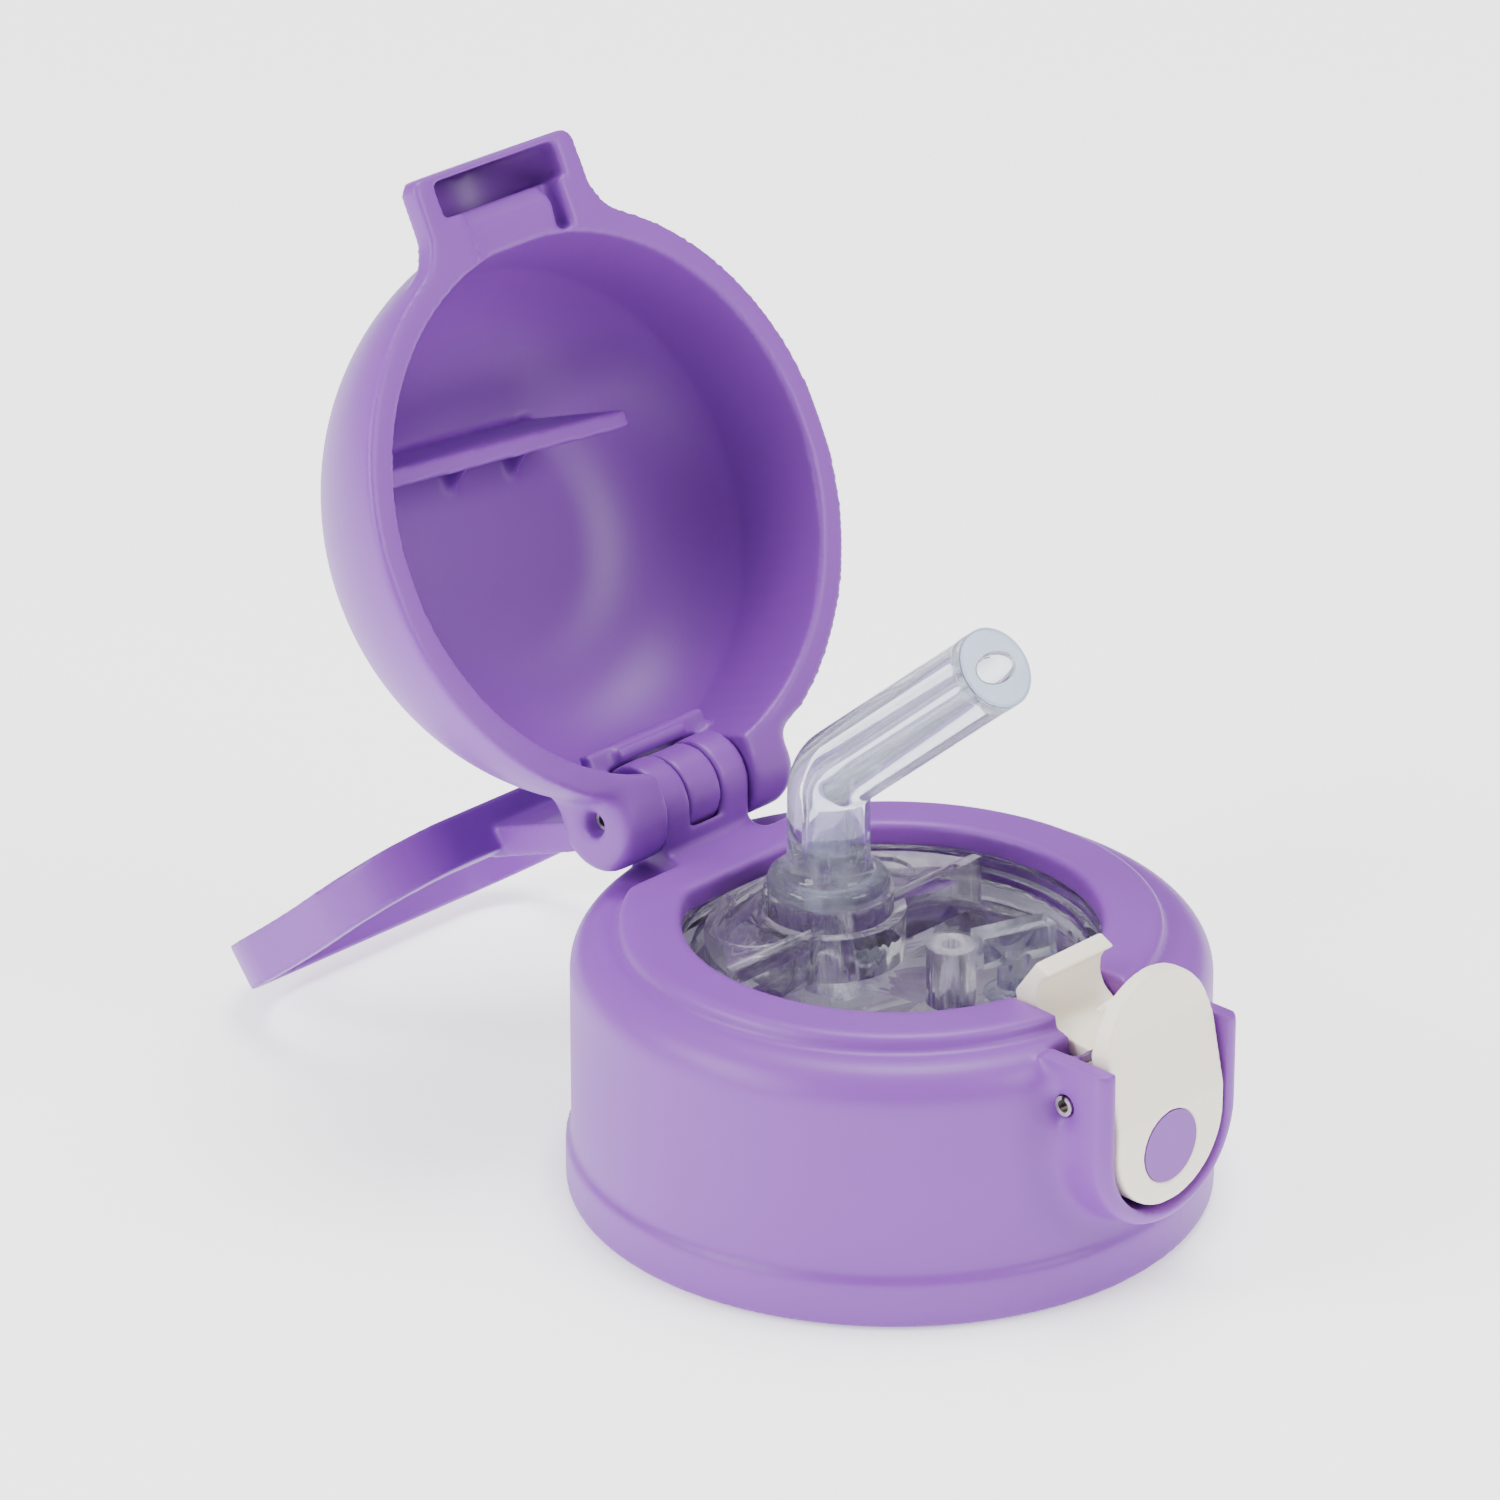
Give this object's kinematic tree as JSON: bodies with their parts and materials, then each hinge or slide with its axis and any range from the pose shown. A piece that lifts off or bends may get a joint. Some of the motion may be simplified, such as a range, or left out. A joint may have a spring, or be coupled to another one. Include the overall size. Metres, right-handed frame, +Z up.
{
  "type": "straw bottle cap",
  "caption": "Screw-on drinking bottle cap with a hinged domed lid, soft bent straw, carry loop and push latch.",
  "frame": {"origin": "centre of the collar's bottom face, on the axis of the neck thread", "axes": "+Z up along the neck axis, X along the hinge pin, +Y towards the hinge, the latch at -Y"},
  "size_m": [0.0732, 0.13, 0.1067],
  "materials": {
    "purple_plastic": "satin",
    "cream_plastic": "satin",
    "clear_plastic": "polished",
    "soft_clear_silicone": "smooth",
    "white_silicone": "matte",
    "steel": "drawn"
  },
  "bodies": {
    "base": {"air_valve": "soft_clear_silicone", "collar": "purple_plastic", "drinking_unit": "clear_plastic", "hinge_pin": "steel", "latch_pin": "steel", "latch_spring": "steel", "neck_seal": "white_silicone", "straw_mouthpiece": "soft_clear_silicone", "unit_seal": "white_silicone"},
    "lid": {"lid": "purple_plastic"},
    "carry_loop": {"carry_loop": "purple_plastic"},
    "latch": {"release_latch": "cream_plastic", "button_inlay": "purple_plastic"}
  },
  "joints": [
    {"name": "lid_hinge", "type": "hinge", "parent": "base", "child": "lid", "pos_m": [0, 0.0335, 0.0372], "axis": [1, 0, 0], "range_deg": [0, 117], "deforming": ["straw_mouthpiece"]},
    {"name": "latch_press", "type": "hinge", "parent": "base", "child": "latch", "pos_m": [0, -0.0354, 0.0253], "axis": [1, 0, 0], "range_deg": [0, 6], "stiffness_Nm_per_rad": 0.12, "deforming": ["latch_spring"]},
    {"name": "loop_swing", "type": "hinge", "parent": "base", "child": "carry_loop", "pos_m": [0, 0.0335, 0.0372], "axis": [-1, 0, 0], "range_deg": [0, 30]}
  ]
}
